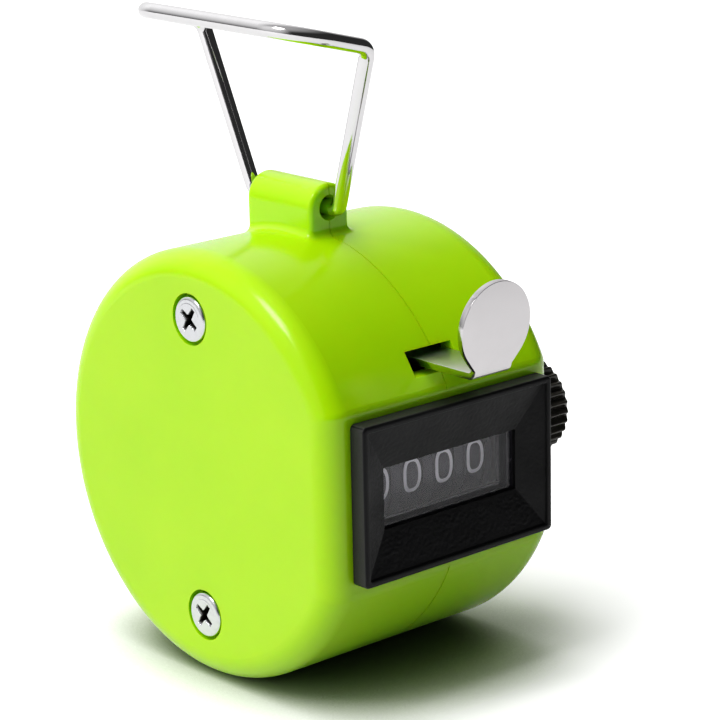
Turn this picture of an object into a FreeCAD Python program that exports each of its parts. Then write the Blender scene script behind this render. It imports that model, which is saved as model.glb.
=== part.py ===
import FreeCAD, Part
import math
import os

os.makedirs("parts", exist_ok=True)

V = FreeCAD.Vector

# Hand tally counter. Millimetres. The working axes used while building are
# X = drum axis (+X towards the reset knob), -Y = the window side, +Z = up,
# with the origin on the drum axis; every piece is moved on export so that the
# frame origin is the bottom centre of the whole object's bounding box.

# ---- driving dimensions ----------------------------------------------------
R_DRUM = 22.5          # drum radius
W_HALF = 15.8          # half of the drum width
WALL = 1.6             # cylindrical wall
END_WALL = 1.8         # flat end wall
FIL_LEFT = 2.6         # edge round, screw side
FIL_RIGHT = 3.6        # edge round, knob side
Y_FLAT = -20.4         # flat seat under the bezel
SHAFT_Y, SHAFT_Z = -8.2, 0.2      # number-wheel axis
R_SHAFT = 1.2
R_WHEEL = 9.3
WHEEL_PITCH = 4.38
WHEEL_W = 2.9
N_GEAR, N_PINION = 20, 8
GEAR_DIST = 10.5
R_SCREW_PCD = 15.7
PIVOT_Y, PIVOT_Z = -13.8, 12.4    # thumb-lever pivot
LUG_Y = 1.75           # lug centre along Y
LUG_LEN = 10.1
LUG_HALF_W = 2.6
LUG_TOP = 27.7
RING_Z = 25.15         # finger-ring hinge height
R_WIRE = 0.80
KNOB_R = 5.25
KNOB_X0, KNOB_X1 = 16.3, 24.8
KNOB_TEETH = 30
BEZ_HALF_W = 12.9
BEZ_Z0, BEZ_Z1 = -8.05, 8.45
BEZ_FRONT = -22.3
WIN_HALF_W = 9.05
WIN_Z0, WIN_Z1 = -3.1, 3.25
PLATE_X = 10.6         # inner face of each side plate
PLATE_T = 1.0
HEAD_PROUD = 0.15      # screw heads above the end face
Y_PAD = -27.1          # front of the thumb lever at its bend
PAD_LEAN = 5.0         # forward lean of the thumb pad, degrees
SCREW_Y = 0.35         # the two case screws sit on a line turned slightly about the drum axis
Y_MIN = -27.863        # front-most point of the thumb pad
OX = (KNOB_X1 - W_HALF - HEAD_PROUD) / 2
OY = (Y_MIN + R_DRUM) / 2


# ---- helpers ---------------------------------------------------------------
def cylx(r, x0, x1, y=0.0, z=0.0):
    return Part.makeCylinder(r, x1 - x0, V(x0, y, z), V(1, 0, 0))


def cyly(r, y0, y1, x=0.0, z=0.0):
    return Part.makeCylinder(r, y1 - y0, V(x, y0, z), V(0, 1, 0))


def box(x0, x1, y0, y1, z0, z1):
    return Part.makeBox(x1 - x0, y1 - y0, z1 - z0, V(x0, y0, z0))


def prism_x(pts, x0, x1):
    """Closed polygon of (y, z) points, extruded along X."""
    w = Part.makePolygon([V(x0, p[0], p[1]) for p in pts] + [V(x0, pts[0][0], pts[0][1])])
    return Part.Face(w).extrude(V(x1 - x0, 0, 0))


def prism_y(pts, y0, y1):
    """Closed polygon of (x, z) points, extruded along Y."""
    w = Part.makePolygon([V(p[0], y0, p[1]) for p in pts] + [V(pts[0][0], y0, pts[0][1])])
    return Part.Face(w).extrude(V(0, y1 - y0, 0))


def rounded_plate_y(x0, x1, z0, z1, y0, y1, r):
    """Rectangle in XZ with rounded corners, extruded along Y."""
    s = box(x0, x1, y0, y1, z0, z1)
    es = [e for e in s.Edges
          if abs(e.Vertexes[0].X - e.Vertexes[-1].X) < 1e-6
          and abs(e.Vertexes[0].Z - e.Vertexes[-1].Z) < 1e-6]
    return s.makeFillet(r, es)


def save(name, shape):
    s = shape.copy()
    s.translate(V(-OX, -OY, R_DRUM))
    s.exportStep("parts/" + name + ".step")


def ring_path(pts, radii):
    """Open polyline through pts with each inner corner rounded to its radius."""
    edges = []
    start = V(*pts[0])
    for i in range(1, len(pts) - 1):
        a, b, c = V(*pts[i - 1]), V(*pts[i]), V(*pts[i + 1])
        u = (a - b).normalize()
        w = (c - b).normalize()
        ang = math.acos(max(-1.0, min(1.0, u.dot(w))))
        t = radii[i - 1] / math.tan(ang / 2)
        p0 = b + u * t
        p1 = b + w * t
        bis = (u + w).normalize()
        mid = b + bis * (radii[i - 1] / math.sin(ang / 2) - radii[i - 1])
        edges.append(Part.makeLine(start, p0))
        edges.append(Part.Arc(p0, mid, p1).toShape())
        start = p1
    edges.append(Part.makeLine(start, V(*pts[-1])))
    return Part.Wire(edges)


def pipe(path, r):
    p0 = path.Edges[0].Vertexes[0].Point
    t = path.Edges[0].tangentAt(path.Edges[0].FirstParameter)
    prof = Part.Wire([Part.Circle(p0, t, r).toShape()])
    return path.makePipeShell([prof], True, False)


# ---- case ------------------------------------------------------------------
def drum_solid(r, xa, xb, y_flat):
    return cylx(r, xa, xb).cut(box(xa - 1, xb + 1, -r - 5, y_flat, -r, r))


outer = drum_solid(R_DRUM, -W_HALF, W_HALF, Y_FLAT)
chord = [e for e in outer.Edges
         if len(e.Vertexes) == 2 and abs(e.Vertexes[0].X - e.Vertexes[1].X) > 20
         and abs(e.Vertexes[0].Y - Y_FLAT) < 0.01]
outer = outer.makeFillet(2.0, chord)


def end_edges(s, x):
    return [e for e in s.Edges
            if all(abs(v.X - x) < 1e-5 for v in e.Vertexes)
            and abs(e.BoundBox.XLength) < 1e-5]


outer = outer.makeFillet(FIL_LEFT, end_edges(outer, -W_HALF))
outer = outer.makeFillet(FIL_RIGHT, end_edges(outer, W_HALF))
inner = drum_solid(R_DRUM - WALL, -W_HALF + END_WALL, W_HALF - END_WALL, Y_FLAT + WALL)

lug_arc_z = LUG_TOP - LUG_HALF_W
lug_pts = [(-LUG_HALF_W, 20.2)]
for k in range(0, 25):
    a = math.pi - math.pi * k / 24
    lug_pts.append((LUG_HALF_W * math.cos(a), lug_arc_z + LUG_HALF_W * math.sin(a)))
lug_y0, lug_y1 = LUG_Y - LUG_LEN / 2, LUG_Y + LUG_LEN / 2
lug_box = box(-LUG_HALF_W, LUG_HALF_W, lug_y0, lug_y1, 20.2, lug_arc_z)
lug = lug_box.fuse(cyly(LUG_HALF_W, lug_y0, lug_y1, 0, lug_arc_z))
lug = lug.removeSplitter()
lug = lug.makeFillet(0.5, [e for e in lug.Edges
                           if e.BoundBox.YLength < 1e-5
                           and e.BoundBox.ZMin > lug_arc_z - 0.01])
case = outer.fuse(lug).removeSplitter()
foot = [e for e in case.Edges
        if e.BoundBox.ZMin > 20.5 and e.BoundBox.ZMax < 23.5
        and e.BoundBox.XMin > -LUG_HALF_W - 0.01 and e.BoundBox.XMax < LUG_HALF_W + 0.01
        and e.BoundBox.YMin > lug_y0 - 0.01 and e.BoundBox.YMax < lug_y1 + 0.01]
case = case.makeFillet(0.9, foot)
case = case.cut(inner)

# bosses around the two case screws, and the hole through the lug
SCREWS = [(SCREW_Y, R_SCREW_PCD), (-SCREW_Y, -R_SCREW_PCD)]
for sy, sz in SCREWS:
    case = case.fuse(cylx(3.2, -W_HALF + 1.2, -PLATE_X - PLATE_T, sy, sz))
    case = case.fuse(cylx(3.2, PLATE_X + PLATE_T, W_HALF - 1.2, sy, sz))
for sy, sz in SCREWS:
    case = case.cut(cylx(2.7, -W_HALF - 1, -W_HALF + 1.0, sy, sz))
    case = case.cut(cylx(1.35, -W_HALF, -PLATE_X, sy, sz))
    case = case.cut(cylx(1.25, PLATE_X, 14.2, sy, sz))
R_HOLE = R_WIRE + 0.09
R_MOUTH = 1.35
case = case.cut(cyly(R_HOLE, lug_y0 - 1, lug_y1 + 1, 0, RING_Z))
for ya, yb, ra, rb in ((lug_y0 - 0.01, lug_y0 + 0.9, R_MOUTH, R_HOLE), (lug_y1 - 0.9, lug_y1 + 0.01, R_HOLE, R_MOUTH)):
    case = case.cut(Part.makeCone(ra, rb, yb - ya, V(0, ya, RING_Z), V(0, 1, 0)))
# lever slot, window opening with a ledge for the lens, shaft hole
case = case.cut(box(-3.5, 2.75, -R_DRUM - 1, -14.5, 11.05, 13.4))
case = case.cut(box(-9.9, 9.9, -21.5, -19.6, -3.9, 4.1))
case = case.cut(box(-9.2, 9.2, -21.5, -18.0, -3.2, 3.4))
case = case.cut(cylx(R_SHAFT + 0.08, 10, W_HALF + 1, SHAFT_Y, SHAFT_Z))
# fine seam line where the two shells meet, round the drum and the lug
SEAM_HALF_W, SEAM_DEPTH = 0.05, 0.14
core = cylx(R_DRUM - SEAM_DEPTH, -1, 1).fuse(
    box(-1, 1, lug_y0 + SEAM_DEPTH, lug_y1 - SEAM_DEPTH, 0, LUG_TOP - SEAM_DEPTH))
case = case.cut(box(-SEAM_HALF_W, SEAM_HALF_W, -40, 40, -40, 40).cut(core))
# the two shells part at x = 0
case_left = case.common(box(-40, 0, -40, 40, -40, 40))
case_right = case.common(box(0, 40, -40, 40, -40, 40))
save("case_left", case_left)
save("case_right", case_right)

# ---- bezel and lens --------------------------------------------------------
bezel = rounded_plate_y(-BEZ_HALF_W, BEZ_HALF_W, BEZ_Z0, BEZ_Z1, BEZ_FRONT, Y_FLAT, 0.5)
rim = 0.95
rx, rz0, rz1 = BEZ_HALF_W - rim, BEZ_Z0 + rim, BEZ_Z1 - rim


def rect_wire(y, hx, z0, z1):
    return Part.makePolygon([V(-hx, y, z0), V(hx, y, z0), V(hx, y, z1), V(-hx, y, z1), V(-hx, y, z0)])


funnel = Part.makeLoft([rect_wire(BEZ_FRONT + 0.25, rx, rz0, rz1),
                        rect_wire(Y_FLAT - 0.35, WIN_HALF_W, WIN_Z0, WIN_Z1)], True, True)
bezel = bezel.cut(funnel)
bezel = bezel.cut(box(-rx, rx, BEZ_FRONT - 1, BEZ_FRONT + 0.25, rz0, rz1))
bezel = bezel.cut(box(-WIN_HALF_W, WIN_HALF_W, -21, -20, WIN_Z0, WIN_Z1))
save("bezel", bezel)
save("window_lens", box(-9.9, 9.9, Y_FLAT, -19.6, -3.9, 4.1))

# ---- case screws -----------------------------------------------------------
screws = []
for sy, sz in SCREWS:
    head = cylx(2.4, -W_HALF - HEAD_PROUD, -W_HALF + 1.0, sy, sz)
    head = head.makeFillet(0.45, [e for e in head.Edges if abs(e.BoundBox.XMax + W_HALF + HEAD_PROUD) < 1e-4])
    s = head.fuse(cylx(1.25, -W_HALF + 1.0, 14.0, sy, sz)).removeSplitter()
    for ang in (35.0, 125.0):
        b = box(-W_HALF - 1, -W_HALF + 0.65, -1.35, 1.35, -0.28, 0.28)
        b.rotate(V(0, 0, 0), V(1, 0, 0), ang)
        b.translate(V(0, sy, sz))
        s = s.cut(b)
    screws.append(s)
save("case_screws", Part.Compound(screws))

# ---- inner frame -----------------------------------------------------------
PIN_ANG = math.radians(-25.0)
PIN_Y = SHAFT_Y + GEAR_DIST * math.cos(PIN_ANG)
PIN_Z = SHAFT_Z + GEAR_DIST * math.sin(PIN_ANG)
POSTS = [(-13.7, -9.33), (12.5, -8.5), (12.5, 8.5)]


def side_plate(x0, x1):
    p = cylx(19.8, x0, x1).cut(box(x0 - 1, x1 + 1, -30, -18.2, -30, 30))
    p = p.cut(cylx(R_SHAFT + 0.07, x0 - 1, x1 + 1, SHAFT_Y, SHAFT_Z))
    p = p.cut(cylx(0.8, x0 - 1, x1 + 1, PIN_Y, PIN_Z))
    p = p.cut(cylx(0.9, x0 - 1, x1 + 1, PIVOT_Y, PIVOT_Z))
    for sy, sz in SCREWS:
        p = p.cut(cylx(1.35, x0 - 1, x1 + 1, sy, sz))
    for (py, pz) in POSTS:
        p = p.cut(cylx(0.8, x0 - 1, x1 + 1, py, pz))
    return p


save("frame_plate_left", side_plate(-PLATE_X - PLATE_T, -PLATE_X))
save("frame_plate_right", side_plate(PLATE_X, PLATE_X + PLATE_T))
sleeves = [cylx(2.0, -PLATE_X, PLATE_X, sy, sz).cut(cylx(1.35, -PLATE_X - 1, PLATE_X + 1, sy, sz))
           for sy, sz in SCREWS]
save("screw_sleeves", Part.Compound(sleeves))
posts = [cylx(1.2, -PLATE_X, PLATE_X, py, pz).fuse(
    cylx(0.8, -PLATE_X - PLATE_T, PLATE_X + PLATE_T, py, pz)).removeSplitter() for (py, pz) in POSTS]
save("frame_posts", Part.Compound(posts))
save("pinion_shaft", cylx(0.8, -PLATE_X - PLATE_T, PLATE_X + PLATE_T, PIN_Y, PIN_Z))
save("lever_pivot_pin", cylx(0.9, -PLATE_X - PLATE_T, PLATE_X + PLATE_T, PIVOT_Y, PIVOT_Z))

# ---- toothed profiles ------------------------------------------------------
def gear_face_pts(n, r_root, r_pitch, r_tip, w_root, w_pitch, w_tip, phase, cy, cz):
    pts = []
    for k in range(n):
        a = phase + 2 * math.pi * k / n
        for r, w in ((r_root, -w_root), (r_pitch, -w_pitch), (r_tip, -w_tip),
                     (r_tip, w_tip), (r_pitch, w_pitch), (r_root, w_root)):
            t = a + w / 2 / r
            pts.append((cy + r * math.cos(t), cz + r * math.sin(t)))
    return pts


GEAR = dict(n=N_GEAR, r_root=6.55, r_pitch=7.5, r_tip=8.15, w_root=1.30, w_pitch=0.95, w_tip=0.50)
PINION = dict(n=N_PINION, r_root=2.15, r_pitch=3.0, r_tip=3.65, w_root=1.0, w_pitch=0.92, w_tip=0.42)
# the big gear's tooth points at the pinion; the pinion shows it a gap
gear_pts = gear_face_pts(phase=PIN_ANG, cy=SHAFT_Y, cz=SHAFT_Z, **GEAR)
pinion_pts = gear_face_pts(phase=PIN_ANG + math.pi + math.pi / N_PINION, cy=PIN_Y, cz=PIN_Z, **PINION)

# ---- number wheels ---------------------------------------------------------
NAMES = ["thousands", "hundreds", "tens", "units"]
CENTRES = [(-1.5 + k) * WHEEL_PITCH for k in range(4)]


def number_wheel(k):
    c = CENTRES[k]
    xl, xr = c - WHEEL_W / 2, c + WHEEL_W / 2
    w = cylx(R_WHEEL, xl, xr, SHAFT_Y, SHAFT_Z)
    w = w.makeFillet(0.25, [e for e in w.Edges if e.BoundBox.XLength < 1e-5])
    # hollow from the left, leaving rim, hub and a web
    pocket = cylx(8.2, xl - 1, xl + 1.5, SHAFT_Y, SHAFT_Z).cut(
        cylx(6.7, xl - 2, xl + 2, SHAFT_Y, SHAFT_Z))
    w = w.cut(pocket)
    if k < 3:      # carry gear facing the next lower wheel
        w = w.fuse(prism_x(gear_pts, xr - 0.3, xr + 0.70)).removeSplitter()
    if k > 0:      # carry disc with its two teeth, facing the next higher wheel
        d = cylx(5.6, xl - 0.70, xl + 0.3, SHAFT_Y, SHAFT_Z)
        for a in (PIN_ANG + math.pi * 0.80, PIN_ANG + math.pi * 0.90):
            t = box(xl - 0.70, xl + 0.3, 5.0, 6.55, -0.45, 0.45)
            t.rotate(V(0, 0, 0), V(1, 0, 0), math.degrees(a))
            t.translate(V(0, SHAFT_Y, SHAFT_Z))
            d = d.fuse(t)
        w = w.fuse(d).removeSplitter()
    return w.cut(cylx(R_SHAFT + 0.07, xl - 3, xr + 3, SHAFT_Y, SHAFT_Z))


for k, nm in enumerate(NAMES):
    save(nm + "_wheel", number_wheel(k))

# ratchet that turns the units wheel, ten saw teeth
rat = []
for k in range(10):
    a0 = 2 * math.pi * k / 10
    a1 = 2 * math.pi * (k + 1) / 10
    rat.append((SHAFT_Y + 2.3 * math.cos(a0), SHAFT_Z + 2.3 * math.sin(a0)))
    rat.append((SHAFT_Y + 3.2 * math.cos(a0 + 0.02), SHAFT_Z + 3.2 * math.sin(a0 + 0.02)))
ux = CENTRES[3] + WHEEL_W / 2
ratchet = prism_x(rat, ux, 9.7).cut(cylx(R_SHAFT + 0.07, ux - 1, 12, SHAFT_Y, SHAFT_Z))
save("units_ratchet", ratchet)

# ---- carry pinions ---------------------------------------------------------
pair = ["hundreds_thousands", "tens_hundreds", "units_tens"]
for k, nm in enumerate(pair):
    c = (CENTRES[k] + CENTRES[k + 1]) / 2
    p = prism_x(pinion_pts, c - 0.6, c + 0.6).cut(cylx(0.86, c - 2, c + 2, PIN_Y, PIN_Z))
    save("carry_pinion_" + nm, p)

# ---- thumb lever -----------------------------------------------------------
T = 0.7
Z_TOP = 12.65
STRIP_W = 2.45
bend_r = 1.0
strip = box(-STRIP_W, STRIP_W, Y_PAD + bend_r, -15.0, Z_TOP - T, Z_TOP)
strip = strip.cut(cylx(1.8, -5, 5, PIVOT_Y, PIVOT_Z))
by, bz = Y_PAD + bend_r, Z_TOP - T + bend_r
sec = Part.Face(Part.makePolygon([V(-STRIP_W, by, bz - bend_r), V(STRIP_W, by, bz - bend_r),
                                  V(STRIP_W, by, bz - bend_r + T), V(-STRIP_W, by, bz - bend_r + T),
                                  V(-STRIP_W, by, bz - bend_r)]))
bend = sec.revolve(V(0, by, bz), V(1, 0, 0), -(90.0 - PAD_LEAN))
# flat pad in an upright position, then leaned forward about the bend's centre
PAD_R, PAD_X, PAD_Z = 4.6, 0.1, 17.15
tx, tz0 = STRIP_W, bz


def tangent_pt(px, pz, side):
    """Point where the line from (px, pz) touches the pad's circle."""
    dx, dz = px - PAD_X, pz - PAD_Z
    d = math.hypot(dx, dz)
    base = math.atan2(dz, dx)
    off = math.acos(PAD_R / d)
    best = None
    for sg in (1, -1):
        a = base + sg * off
        q = (PAD_X + PAD_R * math.cos(a), PAD_Z + PAD_R * math.sin(a))
        if best is None or side * q[0] > side * best[0]:
            best = q
    return best


qr, ql = tangent_pt(STRIP_W, bz, 1), tangent_pt(-STRIP_W, bz, -1)
top = V(PAD_X, Y_PAD, PAD_Z + PAD_R)
outline = Part.Wire([Part.makeLine(V(-STRIP_W, Y_PAD, bz), V(STRIP_W, Y_PAD, bz)),
                     Part.makeLine(V(STRIP_W, Y_PAD, bz), V(qr[0], Y_PAD, qr[1])),
                     Part.Arc(V(qr[0], Y_PAD, qr[1]), top, V(ql[0], Y_PAD, ql[1])).toShape(),
                     Part.makeLine(V(ql[0], Y_PAD, ql[1]), V(-STRIP_W, Y_PAD, bz))])
pad = Part.Face(outline).extrude(V(0, T, 0))
pad.rotate(V(0, by, bz), V(1, 0, 0), PAD_LEAN)
lever = strip.fuse([bend, pad]).removeSplitter()
print("lever", lever.isValid(), len(lever.Solids), lever.BoundBox.YMin, lever.BoundBox.ZMax)
save("thumb_lever", lever)

yoke = cylx(1.8, -10.4, 10.4, PIVOT_Y, PIVOT_Z)


def arm(x0, x1, y_end, z_end):
    a = box(x0, x1, PIVOT_Y, y_end, PIVOT_Z - 1.3, PIVOT_Z + 1.3)
    return a.fuse(cylx(1.3, x0, x1, y_end, z_end))


PAWL_Y = -3.4
SPR_Y = -3.7
yoke = yoke.fuse([arm(9.6, 10.4, PAWL_Y, PIVOT_Z), arm(-10.4, -9.6, SPR_Y, PIVOT_Z),
                  cylx(0.5, -9.8, -8.5, SPR_Y, PIVOT_Z)]).removeSplitter()
yoke = yoke.cut(cylx(0.97, -12, 12, PIVOT_Y, PIVOT_Z)).cut(cylx(0.6, 9, 11, PAWL_Y, PIVOT_Z))
save("lever_yoke", yoke)
save("pawl_rivet", cylx(0.6, 8.45, 10.4, PAWL_Y, PIVOT_Z).fuse(
    cylx(1.0, 8.15, 8.45, PAWL_Y, PIVOT_Z)).removeSplitter())

# ---- drive pawl and detent -------------------------------------------------
nose_y = SHAFT_Y + 3.2 + 0.15
pawl = prism_x([(PAWL_Y - 0.9, PIVOT_Z), (PAWL_Y + 0.9, PIVOT_Z), (PAWL_Y + 1.0, 0.0),
                (PAWL_Y + 0.5, -0.9), (nose_y + 0.1, 0.5), (nose_y, 0.75), (PAWL_Y - 0.3, 1.6),
                (PAWL_Y - 0.3, 4.0)], 8.5, 9.5)
pawl = pawl.fuse(cylx(1.5, 8.5, 9.5, PAWL_Y, PIVOT_Z)).removeSplitter()
pawl = pawl.cut(cylx(0.67, 8, 10, PAWL_Y, PIVOT_Z))
save("drive_pawl", pawl)

py, pz = POSTS[0]
ny, nz = -9.0, -3.45
L = math.hypot(ny - py, nz - pz)
dy, dz = (ny - py) / L, (nz - pz) / L
h = 0.15
leaf = prism_x([(py + dy * 0.9 - dz * h, pz + dz * 0.9 + dy * h), (py + dy * 0.9 + dz * h, pz + dz * 0.9 - dy * h),
                (ny + dz * h, nz - dy * h), (ny - dz * h, nz + dy * h)], 8.3, 9.6)
save("detent_spring", leaf.cut(cylx(1.2, 8, 10, py, pz)))

# ---- return spring ---------------------------------------------------------
SPR_X = -9.2
r_coil, r_w = 0.70, 0.18
z_a, z_b = -4.3, 10.5
helix = Part.makeHelix(0.74, z_b - z_a, r_coil)
prof = Part.Wire([Part.Circle(V(r_coil, 0, 0), V(0, 1, 0), r_w).toShape()])
coil = Part.Wire(helix.Edges).makePipeShell([prof], True, True)
coil.translate(V(SPR_X, SPR_Y, z_a))
bot = cylx(r_w, SPR_X, SPR_X + r_coil + 0.12, SPR_Y, z_a)
n_turn = (z_b - z_a) / 0.74
a_end = 2 * math.pi * (n_turn - math.floor(n_turn))
top = Part.makeCylinder(r_w, r_coil + 0.12, V(SPR_X, SPR_Y, z_b), V(math.cos(a_end), math.sin(a_end), 0))
hook_b = Part.makeCylinder(r_w, z_a + 5.4, V(SPR_X, SPR_Y, -5.4), V(0, 0, 1))
hook_t = Part.makeCylinder(r_w, PIVOT_Z - 0.55 - z_b, V(SPR_X, SPR_Y, z_b), V(0, 0, 1))
spring = coil.fuse([bot, top, hook_b, hook_t])
save("return_spring", spring)
save("spring_anchor_pin", cylx(0.6, -PLATE_X, -8.45, SPR_Y, -6.0))

# ---- reset shaft, knob, clip -----------------------------------------------
save("reset_shaft", cylx(R_SHAFT, -12.9, 22.5, SHAFT_Y, SHAFT_Z).cut(
    cylx(3, -12.5, -12.1, SHAFT_Y, SHAFT_Z).cut(cylx(0.9, -13, -12, SHAFT_Y, SHAFT_Z))))
clip = cylx(2.2, -12.5, -12.1, SHAFT_Y, SHAFT_Z).cut(cylx(0.9, -13, -12, SHAFT_Y, SHAFT_Z))
clip = clip.cut(box(-13, -12, SHAFT_Y - 0.7, SHAFT_Y + 0.7, SHAFT_Z - 3, SHAFT_Z))
save("shaft_clip", clip)
kp = []
for k in range(KNOB_TEETH):
    a = 2 * math.pi * k / KNOB_TEETH
    s = math.pi / KNOB_TEETH
    for r, t in ((KNOB_R - 0.5, -0.92 * s), (KNOB_R, -0.22 * s), (KNOB_R, 0.22 * s), (KNOB_R - 0.5, 0.92 * s)):
        kp.append((SHAFT_Y + r * math.cos(a + t), SHAFT_Z + r * math.sin(a + t)))
knob = prism_x(kp, KNOB_X0 + 0.7, KNOB_X1)
env = cylx(KNOB_R + 0.1, KNOB_X0, KNOB_X1, SHAFT_Y, SHAFT_Z)
env = env.makeChamfer(0.45, [e for e in env.Edges if abs(e.BoundBox.XMin - KNOB_X1) < 1e-4])
knob = knob.common(env)
knob = knob.fuse(cylx(4.2, KNOB_X0, KNOB_X0 + 1.0, SHAFT_Y, SHAFT_Z)).removeSplitter()
knob = knob.cut(cylx(R_SHAFT, KNOB_X0 - 1, 22.5, SHAFT_Y, SHAFT_Z))
knob = knob.cut(cylx(3.6, KNOB_X1 - 0.5, KNOB_X1 + 1, SHAFT_Y, SHAFT_Z))
save("reset_knob", knob)

# ---- finger ring -----------------------------------------------------------
pts = [(0, LUG_Y - 0.06, RING_Z), (0, -4.7, RING_Z), (-2.2, -12.2, 42.9),
       (-11.7, -12.2, 45.4), (-11.7, 13.7, 45.4), (-2.2, 13.7, 42.9),
       (0, 8.6, RING_Z), (0, LUG_Y + 0.06, RING_Z)]
path = ring_path(pts, [1.2, 1.7, 4.5, 4.5, 1.7, 1.2])
ring = pipe(path, R_WIRE)
save("finger_ring", ring)
print("finger_ring valid", ring.isValid(), ring.Volume)
print("spring valid", spring.isValid(), len(spring.Solids))
print("case", case_left.isValid(), case_right.isValid(), len(case_left.Solids), len(case_right.Solids))
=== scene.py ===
import math

import bmesh
import bpy
import numpy as np
from mathutils import Matrix, Vector, noise


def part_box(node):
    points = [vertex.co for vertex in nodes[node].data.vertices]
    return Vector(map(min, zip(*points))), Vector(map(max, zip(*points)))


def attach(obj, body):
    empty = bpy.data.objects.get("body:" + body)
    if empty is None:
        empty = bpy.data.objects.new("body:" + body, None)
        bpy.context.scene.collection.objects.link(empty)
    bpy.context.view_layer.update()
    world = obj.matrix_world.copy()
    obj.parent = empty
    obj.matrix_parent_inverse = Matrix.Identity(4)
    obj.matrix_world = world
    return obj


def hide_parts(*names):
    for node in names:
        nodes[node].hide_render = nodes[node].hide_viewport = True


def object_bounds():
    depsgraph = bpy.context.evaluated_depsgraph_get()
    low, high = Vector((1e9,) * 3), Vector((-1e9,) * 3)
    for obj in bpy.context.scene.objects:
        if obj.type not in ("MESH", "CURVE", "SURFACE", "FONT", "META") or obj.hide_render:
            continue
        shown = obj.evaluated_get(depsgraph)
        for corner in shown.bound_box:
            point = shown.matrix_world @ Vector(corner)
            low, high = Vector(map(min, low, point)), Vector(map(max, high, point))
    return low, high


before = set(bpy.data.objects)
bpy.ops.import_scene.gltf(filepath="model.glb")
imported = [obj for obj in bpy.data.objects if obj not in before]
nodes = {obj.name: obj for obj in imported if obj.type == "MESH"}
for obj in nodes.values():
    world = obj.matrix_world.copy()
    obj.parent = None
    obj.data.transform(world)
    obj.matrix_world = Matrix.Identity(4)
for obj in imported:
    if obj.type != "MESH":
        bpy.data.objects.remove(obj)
cad_lo, cad_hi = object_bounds()

# ---------------------------------------------------------------------------
# Working frame: millimetres, origin on the drum axis between the two shells.
# Its place in the row frame is read from the CAD nodes.
# ---------------------------------------------------------------------------
_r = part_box("case_right")
_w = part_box("units_wheel")
R_DRUM = 22.5
SHY, SHZ = -8.2, 0.2
ORG = Vector((_r[0].x, (_w[0].y + _w[1].y) / 2 - SHY / 1000, (_w[0].z + _w[1].z) / 2 - SHZ / 1000))


def M(x, y, z):
    return Vector((ORG.x + x / 1000.0, ORG.y + y / 1000.0, ORG.z + z / 1000.0))


# ---------------------------------------------------------------------------
# node helpers
# ---------------------------------------------------------------------------
def new_mat(name):
    m = bpy.data.materials.new(name)
    m.use_nodes = True
    nt = m.node_tree
    nt.nodes.clear()
    out = nt.nodes.new("ShaderNodeOutputMaterial")
    return m, nt, out


def node(nt, kind, **vals):
    n = nt.nodes.new(kind)
    for k, v in vals.items():
        if k in n.inputs:
            n.inputs[k].default_value = v
        else:
            setattr(n, k, v)
    return n


def ramp(nt, src, stops):
    r = nt.nodes.new("ShaderNodeValToRGB")
    el = r.color_ramp.elements
    el[0].position, el[0].color = stops[0]
    el[1].position, el[1].color = stops[-1]
    for p, c in stops[1:-1]:
        e = el.new(p)
        e.color = c
    nt.links.new(src, r.inputs["Fac"])
    return r


def coords(nt, scale=(1, 1, 1)):
    tc = nt.nodes.new("ShaderNodeTexCoord")
    mp = nt.nodes.new("ShaderNodeMapping")
    mp.inputs["Scale"].default_value = scale
    nt.links.new(tc.outputs["Object"], mp.inputs["Vector"])
    return mp.outputs["Vector"]


def noise_tex(nt, vec, scale, detail=3.0, rough=0.5):
    n = nt.nodes.new("ShaderNodeTexNoise")
    n.inputs["Scale"].default_value = scale
    n.inputs["Detail"].default_value = detail
    n.inputs["Roughness"].default_value = rough
    nt.links.new(vec, n.inputs["Vector"])
    return n.outputs["Fac"]


def bump(nt, height, strength, dist, normal=None):
    b = nt.nodes.new("ShaderNodeBump")
    b.inputs["Strength"].default_value = strength
    b.inputs["Distance"].default_value = dist
    nt.links.new(height, b.inputs["Height"])
    if normal is not None:
        nt.links.new(normal, b.inputs["Normal"])
    return b.outputs["Normal"]


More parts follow.
